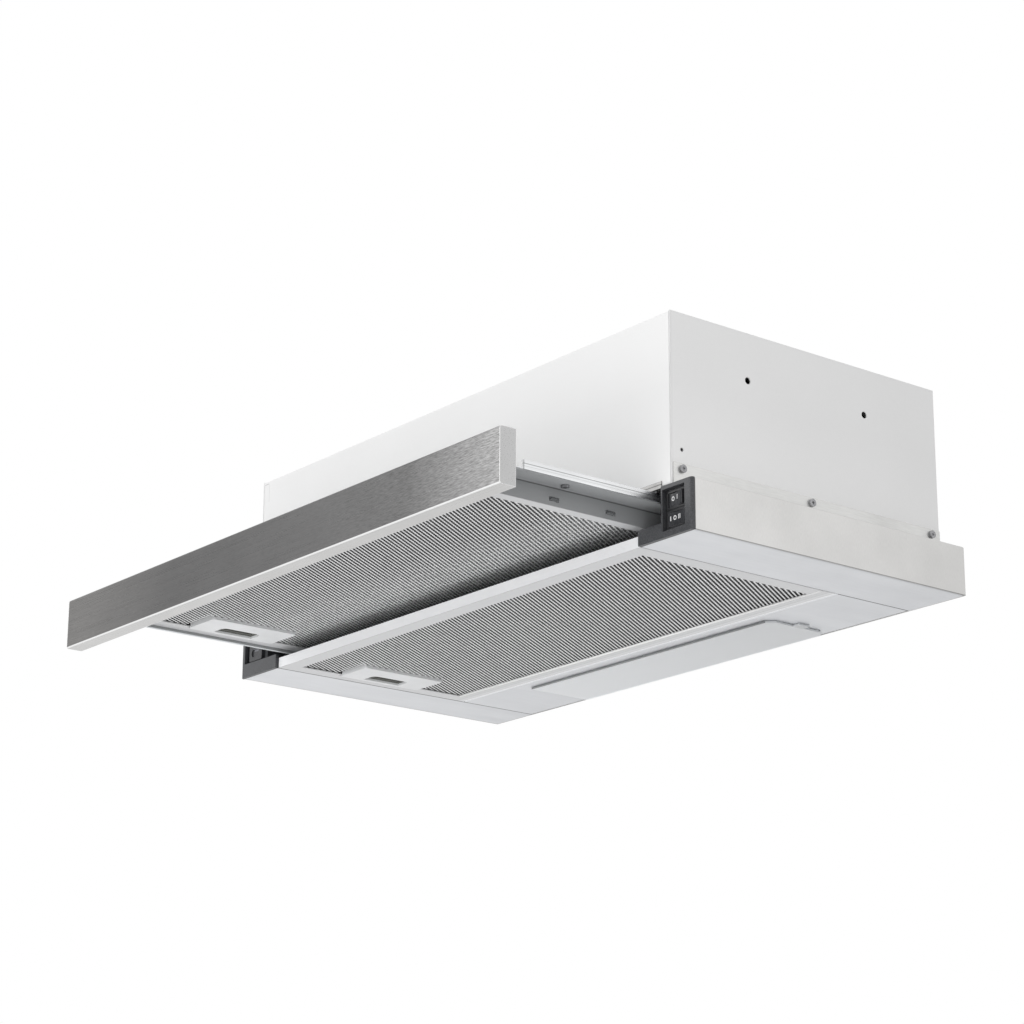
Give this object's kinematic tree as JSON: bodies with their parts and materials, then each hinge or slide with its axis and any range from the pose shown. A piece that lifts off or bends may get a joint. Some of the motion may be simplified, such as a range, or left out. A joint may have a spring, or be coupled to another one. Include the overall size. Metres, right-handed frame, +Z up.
{
  "type": "pull out range hood",
  "caption": "Slim pull out range hood with a sliding glass drawer, two grease filters, rocker switches, a lamp strip, a blower and a round duct outlet.",
  "frame": {"origin": "middle of the bottom edge of the rear wall's outer face, where the hood meets the kitchen wall", "axes": "+X to the right seen from the front, +Y towards the kitchen wall, +Z up"},
  "size_m": [0.6, 0.467, 0.2158],
  "materials": {
    "white_paint": "smooth white powder coat",
    "base_steel": "fine vertical brushing",
    "border_steel": "pale bluish galvanised sheet",
    "strip_steel": "galvanised sheet",
    "panel_steel": "brushed along the front",
    "drawer_steel": "dark grey coat",
    "slide_zinc": "bright zinc",
    "ball_cage": "plain steel",
    "screw_steel": "zinc plated",
    "lamp_white": "white coat",
    "led_board": "white solder mask",
    "lamp_diffuser": "milky translucent",
    "cap_plastic": "fine grained charcoal",
    "switch_plastic": "black",
    "rocker_plastic": "smooth black",
    "blank_plastic": "charcoal",
    "drawer_glass": "clear float glass",
    "filter_aluminium": "mill finish",
    "mesh_aluminium": "expanded metal",
    "handle_plastic": "light grey",
    "latch_plastic": "olive grey",
    "blower_plastic": "black moulding",
    "impeller_plastic": "dark grey moulding",
    "shaft_steel": "ground",
    "motor_metal": "die cast",
    "holder_steel": "galvanised",
    "capacitor_can": "drawn can",
    "terminal_plastic": "white",
    "gland_plastic": "black",
    "collar_plastic": "black",
    "flap_plastic": "dark grey"
  },
  "bodies": {
    "hood": {"housing_wrap": "white_paint", "housing_side_right": "white_paint", "housing_side_left": "white_paint", "foot_strip_right": "strip_steel", "foot_strip_left": "strip_steel", "foot_strip_screws": "screw_steel", "base_side_right": "base_steel", "base_side_left": "base_steel", "bottom_border_right": "border_steel", "bottom_border_left": "border_steel", "rear_wall": "base_steel", "front_cross_rail": "base_steel", "lamp_panel": "border_steel", "lamp_tray": "lamp_white", "led_board": "led_board", "switch_cap_right": "cap_plastic", "switch_cap_left": "cap_plastic", "light_switch": "switch_plastic", "fan_switch": "switch_plastic", "blank_insert": "blank_plastic", "slide_rail_right": "slide_zinc", "slide_rail_left": "slide_zinc", "blower_scroll": "blower_plastic", "blower_motor": "motor_metal", "motor_holder": "holder_steel", "capacitor": "capacitor_can", "terminal_box": "terminal_plastic", "cable_gland": "gland_plastic", "outlet_collar": "collar_plastic"},
    "drawer": {"slide_runner_right": "slide_zinc", "slide_runner_left": "slide_zinc", "drawer_panel": "panel_steel", "drawer_panel_backing": "base_steel", "drawer_wall_right": "drawer_steel", "drawer_wall_left": "drawer_steel", "drawer_front_beam": "drawer_steel", "drawer_rear_beam": "drawer_steel", "drawer_screws": "screw_steel", "drawer_glass": "drawer_glass", "drawer_filter_frame": "filter_aluminium", "drawer_filter_mesh": "mesh_aluminium", "drawer_filter_handle": "handle_plastic"},
    "drawer_latch": {"drawer_filter_latch": "latch_plastic"},
    "cage_right": {"ball_cage_right": "ball_cage"},
    "cage_left": {"ball_cage_left": "ball_cage"},
    "light_rocker": {"light_rocker": "rocker_plastic"},
    "fan_rocker": {"fan_rocker": "rocker_plastic"},
    "filter": {"filter_frame": "filter_aluminium", "filter_mesh": "mesh_aluminium", "filter_handle": "handle_plastic"},
    "latch": {"filter_latch": "latch_plastic"},
    "lamp_cover": {"lamp_cover": "lamp_diffuser"},
    "impeller": {"impeller": "impeller_plastic", "motor_shaft": "shaft_steel"},
    "flap_front": {"flap_front": "flap_plastic"},
    "flap_rear": {"flap_rear": "flap_plastic"}
  },
  "joints": [
    {"name": "drawer_slide", "type": "slide", "parent": "hood", "child": "drawer", "axis": [0, 1, 0], "range_m": [0, 0.162]},
    {"name": "cage_right_slide", "type": "slide", "parent": "hood", "child": "cage_right", "axis": [0, 1, 0], "range_m": [0, 0.081]},
    {"name": "cage_left_slide", "type": "slide", "parent": "hood", "child": "cage_left", "axis": [0, 1, 0], "range_m": [0, 0.081]},
    {"name": "light_rocker_tilt", "type": "hinge", "parent": "hood", "child": "light_rocker", "pos_m": [0.27975, -0.2831, 0.0287], "axis": [0, 0, 1], "range_deg": [0, 20]},
    {"name": "fan_rocker_tilt", "type": "hinge", "parent": "hood", "child": "fan_rocker", "pos_m": [0.27975, -0.2831, 0.0137], "axis": [0, 0, 1], "range_deg": [-10, 10]},
    {"name": "filter_swing", "type": "hinge", "parent": "hood", "child": "filter", "pos_m": [0.2399, -0.185, 0], "axis": [0, -1, 0], "range_deg": [0, 75]},
    {"name": "latch_slide", "type": "slide", "parent": "filter", "child": "latch", "axis": [1, 0, 0], "range_m": [0, 0.007], "stiffness_N_per_m": 300, "springref_m": -0.005},
    {"name": "drawer_latch_slide", "type": "slide", "parent": "drawer", "child": "drawer_latch", "axis": [1, 0, 0], "range_m": [0, 0.007], "stiffness_N_per_m": 300, "springref_m": -0.005},
    {"name": "lamp_cover_swing", "type": "hinge", "parent": "hood", "child": "lamp_cover", "pos_m": [-0.16, -0.0375, -0.0018], "axis": [0, 1, 0], "range_deg": [0, 70]},
    {"name": "impeller_spin", "type": "hinge", "parent": "hood", "child": "impeller", "pos_m": [0, -0.179, 0.116], "axis": [1, 0, 0], "continuous": true},
    {"name": "flap_front_swing", "type": "hinge", "parent": "hood", "child": "flap_front", "pos_m": [0, -0.1485, 0.1818], "axis": [-1, 0, 0], "range_deg": [0, 75]},
    {"name": "flap_rear_swing", "type": "hinge", "parent": "hood", "child": "flap_rear", "pos_m": [0, -0.1415, 0.1818], "axis": [1, 0, 0], "range_deg": [0, 75]}
  ],
  "couplings": [
    {"joint": "cage_right_slide", "follows": "drawer_slide", "ratio": 0.5},
    {"joint": "cage_left_slide", "follows": "drawer_slide", "ratio": 0.5}
  ]
}
